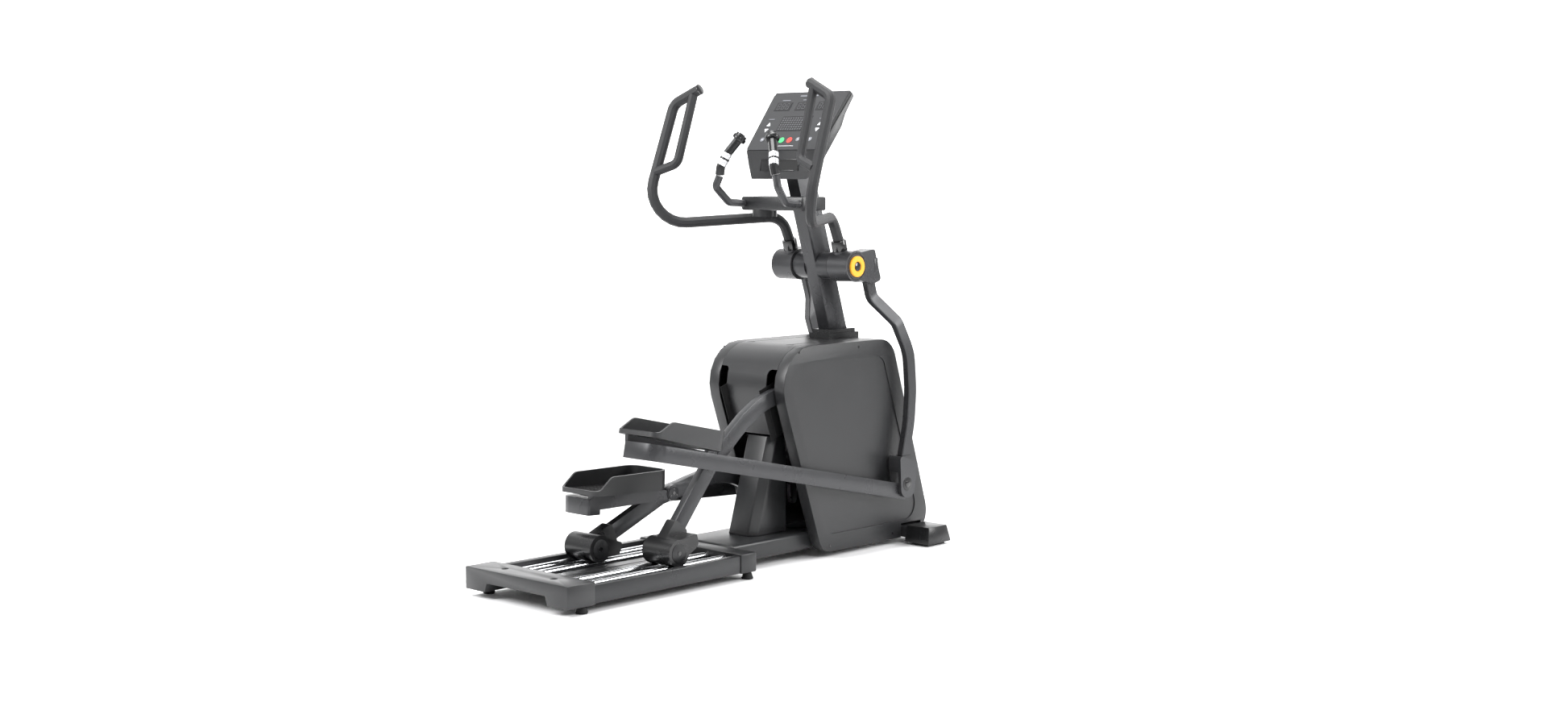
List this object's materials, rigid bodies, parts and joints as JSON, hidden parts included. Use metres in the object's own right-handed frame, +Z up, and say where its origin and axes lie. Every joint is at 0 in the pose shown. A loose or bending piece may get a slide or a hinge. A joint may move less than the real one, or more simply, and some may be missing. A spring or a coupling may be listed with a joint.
{
  "type": "elliptical trainer",
  "caption": "Rear-track elliptical trainer with swinging handlebars, rolling pedal arms, shrouded flywheel drive and a console on a mast.",
  "frame": {"origin": "floor level under the middle of the bounding box", "axes": "+X towards the front (drive shroud) end, +Y to the left of a user facing the console, +Z up"},
  "size_m": [1.9147, 0.8406, 1.7612],
  "materials": {
    "rear_housing": "satin",
    "side_rail": "satin",
    "deck_pan": "matte",
    "track": "polished",
    "front_crossbar": "satin",
    "base_spine": "satin",
    "rear_leg": "satin",
    "front_foot_bar": "satin",
    "foot_cap": "satin",
    "levelling_foot": "matte",
    "inner_frame": "satin",
    "shroud_centre": "satin",
    "side_panel": "fine texture",
    "mast_collar": "satin",
    "mast": "powder coat",
    "pivot_axle": "satin",
    "tray": "satin",
    "fixed_grip": "powder coat",
    "grip_handle": "satin",
    "console_body": "satin",
    "console_overlay": "gloss",
    "drive_belt": "matte",
    "crank_axle": "turned",
    "drive_pulley": "cast",
    "crank_arm": "satin",
    "flywheel": "painted",
    "roller_axle": "turned",
    "support_arm": "powder coat",
    "roller_hood": "satin",
    "pedal": "textured",
    "link_bar": "powder coat",
    "roller_inner": "matte",
    "roller_outer": "matte",
    "lower_arm": "powder coat",
    "handlebar": "foam, matte",
    "hub_ring": "satin orange",
    "grip_button": "satin"
  },
  "bodies": {
    "base": {"rear_housing": "rear_housing", "side_rail_left": "side_rail", "side_rail_right": "side_rail", "deck_pan": "deck_pan", "track_inner_left": "track", "track_inner_right": "track", "track_outer_left": "track", "track_outer_right": "track", "front_crossbar": "front_crossbar", "base_spine": "base_spine", "rear_leg": "rear_leg", "front_foot_bar": "front_foot_bar", "foot_cap_left": "foot_cap", "foot_cap_right": "foot_cap", "levelling_foot_rear_left": "levelling_foot", "levelling_foot_rear_right": "levelling_foot", "levelling_foot_middle_left": "levelling_foot", "levelling_foot_middle_right": "levelling_foot", "inner_frame": "inner_frame", "shroud_centre": "shroud_centre", "side_panel_left": "side_panel", "side_panel_right": "side_panel", "mast_collar": "mast_collar", "mast": "mast", "pivot_axle": "pivot_axle", "tray": "tray", "fixed_grip_left": "fixed_grip", "fixed_grip_right": "fixed_grip", "grip_handle_left": "grip_handle", "grip_handle_right": "grip_handle", "console_body": "console_body", "console_overlay": "console_overlay", "drive_belt": "drive_belt"},
    "crank": {"crank_axle": "crank_axle", "drive_pulley": "drive_pulley", "crank_arm_left": "crank_arm", "crank_arm_right": "crank_arm"},
    "flywheel": {"flywheel": "flywheel"},
    "carriage_left": {"roller_axle_left": "roller_axle"},
    "arm_left": {"support_arm_left": "support_arm", "roller_hood_left": "roller_hood"},
    "foot_left": {"pedal_left": "pedal", "link_bar_left": "link_bar"},
    "rollerin_left": {"roller_inner_left": "roller_inner"},
    "rollerout_left": {"roller_outer_left": "roller_outer"},
    "hand_left": {"lower_arm_left": "lower_arm", "handlebar_left": "handlebar", "hub_ring_left": "hub_ring"},
    "button_left": {"grip_button_left": "grip_button"},
    "carriage_right": {"roller_axle_right": "roller_axle"},
    "arm_right": {"support_arm_right": "support_arm", "roller_hood_right": "roller_hood"},
    "foot_right": {"pedal_right": "pedal", "link_bar_right": "link_bar"},
    "rollerin_right": {"roller_inner_right": "roller_inner"},
    "rollerout_right": {"roller_outer_right": "roller_outer"},
    "hand_right": {"lower_arm_right": "lower_arm", "handlebar_right": "handlebar", "hub_ring_right": "hub_ring"},
    "button_right": {"grip_button_right": "grip_button"}
  },
  "joints": [
    {"name": "crank_spin", "type": "hinge", "parent": "base", "child": "crank", "pos_m": [0.4776, 0, 0.415], "axis": [0, 1, 0], "continuous": true},
    {"name": "flywheel_spin", "type": "hinge", "parent": "base", "child": "flywheel", "pos_m": [0.7496, 0, 0.25], "axis": [0, 1, 0], "continuous": true},
    {"name": "right_stride", "type": "slide", "parent": "base", "child": "carriage_right", "axis": [1, 0, 0], "range_m": [-0.19, 0.115]},
    {"name": "right_lift", "type": "hinge", "parent": "carriage_right", "child": "arm_right", "pos_m": [-0.3954, -0.119, 0.125], "axis": [0, -1, 0], "range_deg": [-24, 0]},
    {"name": "right_pedal_tilt", "type": "hinge", "parent": "arm_right", "child": "foot_right", "pos_m": [-0.1354, -0.119, 0.435], "axis": [0, -1, 0], "range_deg": [0, 33]},
    {"name": "right_roller_in_spin", "type": "hinge", "parent": "carriage_right", "child": "rollerin_right", "pos_m": [-0.3954, -0.119, 0.125], "axis": [0, 1, 0], "range_deg": [-300, 300]},
    {"name": "right_roller_out_spin", "type": "hinge", "parent": "carriage_right", "child": "rollerout_right", "pos_m": [-0.3954, -0.119, 0.125], "axis": [0, 1, 0], "range_deg": [-300, 300]},
    {"name": "right_handlebar_swing", "type": "hinge", "parent": "base", "child": "hand_right", "pos_m": [0.5346, 0, 1.077], "axis": [0, -1, 0], "range_deg": [-13.2, 8]},
    {"name": "right_grip_button_press", "type": "slide", "parent": "base", "child": "button_right", "axis": [-0.4044, -0.4793, -0.7789], "range_m": [0, 0.002], "stiffness_N_per_m": 500},
    {"name": "left_stride", "type": "slide", "parent": "base", "child": "carriage_left", "axis": [1, 0, 0], "range_m": [-0.115, 0.19]},
    {"name": "left_lift", "type": "hinge", "parent": "carriage_left", "child": "arm_left", "pos_m": [-0.5244, 0.119, 0.125], "axis": [0, -1, 0], "range_deg": [0, 24]},
    {"name": "left_pedal_tilt", "type": "hinge", "parent": "arm_left", "child": "foot_left", "pos_m": [-0.14895, 0.119, 0.2758], "axis": [0, -1, 0], "range_deg": [-33, 0]},
    {"name": "left_roller_in_spin", "type": "hinge", "parent": "carriage_left", "child": "rollerin_left", "pos_m": [-0.5244, 0.119, 0.125], "axis": [0, 1, 0], "range_deg": [-300, 300]},
    {"name": "left_roller_out_spin", "type": "hinge", "parent": "carriage_left", "child": "rollerout_left", "pos_m": [-0.5244, 0.119, 0.125], "axis": [0, 1, 0], "range_deg": [-300, 300]},
    {"name": "left_handlebar_swing", "type": "hinge", "parent": "base", "child": "hand_left", "pos_m": [0.5346, 0, 1.077], "axis": [0, -1, 0], "range_deg": [-8, 13.2]},
    {"name": "left_grip_button_press", "type": "slide", "parent": "base", "child": "button_left", "axis": [-0.4044, 0.4793, -0.7789], "range_m": [0, 0.002], "stiffness_N_per_m": 500}
  ],
  "couplings": [
    {"joint": "flywheel_spin", "follows": "crank_spin", "ratio": 6.3636},
    {"joint": "right_roller_in_spin", "follows": "right_stride", "rad_per_m": 25.189},
    {"joint": "right_roller_out_spin", "follows": "right_stride", "rad_per_m": 25.189},
    {"joint": "left_roller_in_spin", "follows": "right_stride", "rad_per_m": -25.189},
    {"joint": "left_roller_out_spin", "follows": "right_stride", "rad_per_m": -25.189},
    {"joint": "left_stride", "follows": "right_stride", "ratio": -1},
    {"joint": "left_lift", "follows": "right_lift", "ratio": -1},
    {"joint": "right_pedal_tilt", "follows": "right_lift", "ratio": -1.365},
    {"joint": "left_pedal_tilt", "follows": "right_lift", "ratio": 1.365},
    {"joint": "right_handlebar_swing", "follows": "right_stride", "rad_per_m": 1.205},
    {"joint": "left_handlebar_swing", "follows": "right_stride", "rad_per_m": -1.205}
  ]
}
